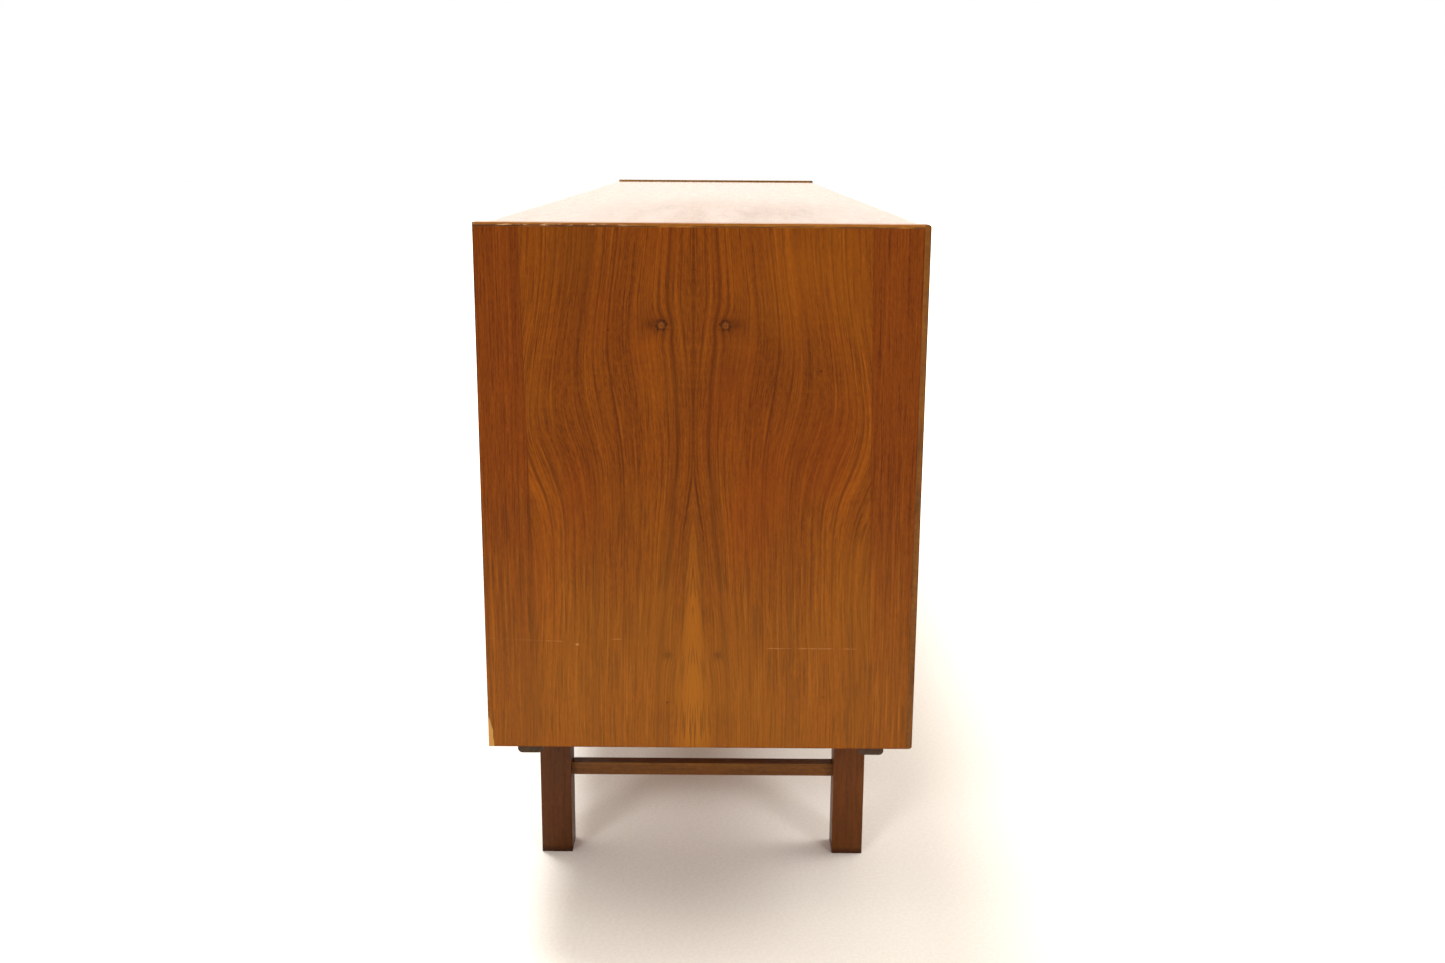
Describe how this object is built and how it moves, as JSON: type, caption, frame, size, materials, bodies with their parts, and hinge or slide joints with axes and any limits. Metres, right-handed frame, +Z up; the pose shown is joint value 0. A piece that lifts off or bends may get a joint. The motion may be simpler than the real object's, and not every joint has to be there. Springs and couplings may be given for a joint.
{
  "type": "sideboard buffet",
  "caption": "Long low teak sideboard with sliding doors and a bank of drawers, raised end panels, and square-legged frames joined by thin stretchers under dark bearer rails.",
  "frame": {"origin": "on the floor, under the middle of the sideboard", "axes": "+X along the length to the right, -Y towards the front, +Z up"},
  "size_m": [2, 0.45, 0.75],
  "materials": {
    "teak_end": "satin oiled teak veneer, upright bookmatched grain",
    "teak_edge": "satin oiled solid teak lipping",
    "teak_front_edge": "satin oiled solid teak lipping, rounded",
    "teak_top": "satin oiled teak veneer, lengthwise grain",
    "teak_carcass": "satin teak veneer",
    "back_ply": "matt veneered plywood",
    "dowel_beech": "plain beech",
    "brass": "dull brass",
    "steel": "zinc-plated steel",
    "black_stain": "black-stained hardwood, worn",
    "teak_leg": "satin oiled solid teak",
    "teak_stretcher": "satin oiled solid teak",
    "track_wood": "waxed hardwood",
    "teak_door": "satin oiled teak veneer",
    "teak_grip": "satin oiled turned and shaped teak",
    "shelf_wood": "satin veneered board",
    "runner_beech": "waxed beech",
    "teak_drawer": "satin oiled teak veneer",
    "drawer_beech": "satin solid beech",
    "drawer_ply": "matt birch plywood"
  },
  "bodies": {
    "carcass": {"end_panel_left": "teak_end", "end_panel_right": "teak_end", "top_lipping_left": "teak_edge", "top_lipping_right": "teak_edge", "front_lipping_left": "teak_front_edge", "front_lipping_right": "teak_front_edge", "top_board": "teak_top", "bottom_board": "teak_carcass", "partition_doors": "teak_carcass", "partition_drawers": "teak_carcass", "back_panel_left": "back_ply", "back_panel_middle": "back_ply", "back_panel_right": "back_ply", "carcass_dowels": "dowel_beech", "back_panel_screws": "brass", "shelf_pins": "brass", "base_screws": "steel", "bearer_front": "black_stain", "bearer_rear": "black_stain", "leg_left_front": "teak_leg", "leg_left_rear": "teak_leg", "leg_right_front": "teak_leg", "leg_right_rear": "teak_leg", "cross_rail_left": "teak_leg", "cross_rail_right": "teak_leg", "stretcher_left": "teak_stretcher", "stretcher_right": "teak_stretcher", "door_track_top": "track_wood", "door_track_bottom": "track_wood", "shelf_left": "shelf_wood", "shelf_middle": "shelf_wood", "drawer_runners": "runner_beech"},
    "door_left": {"door_left": "teak_door", "door_cup_left": "teak_grip"},
    "door_right": {"door_right": "teak_door", "door_cup_right": "teak_grip"},
    "drawer_1": {"drawer_1_grip": "teak_grip", "drawer_1_front": "teak_drawer", "drawer_1_side_left": "drawer_beech", "drawer_1_side_right": "drawer_beech", "drawer_1_back": "drawer_beech", "drawer_1_bottom": "drawer_ply"},
    "drawer_2": {"drawer_2_grip": "teak_grip", "drawer_2_front": "teak_drawer", "drawer_2_side_left": "drawer_beech", "drawer_2_side_right": "drawer_beech", "drawer_2_back": "drawer_beech", "drawer_2_bottom": "drawer_ply"},
    "drawer_3": {"drawer_3_grip": "teak_grip", "drawer_3_front": "teak_drawer", "drawer_3_side_left": "drawer_beech", "drawer_3_side_right": "drawer_beech", "drawer_3_back": "drawer_beech", "drawer_3_bottom": "drawer_ply"},
    "drawer_4": {"drawer_4_grip": "teak_grip", "drawer_4_front": "teak_drawer", "drawer_4_side_left": "drawer_beech", "drawer_4_side_right": "drawer_beech", "drawer_4_back": "drawer_beech", "drawer_4_bottom": "drawer_ply"}
  },
  "joints": [
    {"name": "door_left_slide", "type": "slide", "parent": "carcass", "child": "door_left", "axis": [1, 0, 0], "range_m": [0, 0.637]},
    {"name": "door_right_slide", "type": "slide", "parent": "carcass", "child": "door_right", "axis": [-1, 0, 0], "range_m": [0, 0.637]},
    {"name": "drawer_1_slide", "type": "slide", "parent": "carcass", "child": "drawer_1", "axis": [0, -1, 0], "range_m": [0, 0.3]},
    {"name": "drawer_2_slide", "type": "slide", "parent": "carcass", "child": "drawer_2", "axis": [0, -1, 0], "range_m": [0, 0.3]},
    {"name": "drawer_3_slide", "type": "slide", "parent": "carcass", "child": "drawer_3", "axis": [0, -1, 0], "range_m": [0, 0.3]},
    {"name": "drawer_4_slide", "type": "slide", "parent": "carcass", "child": "drawer_4", "axis": [0, -1, 0], "range_m": [0, 0.3]}
  ]
}
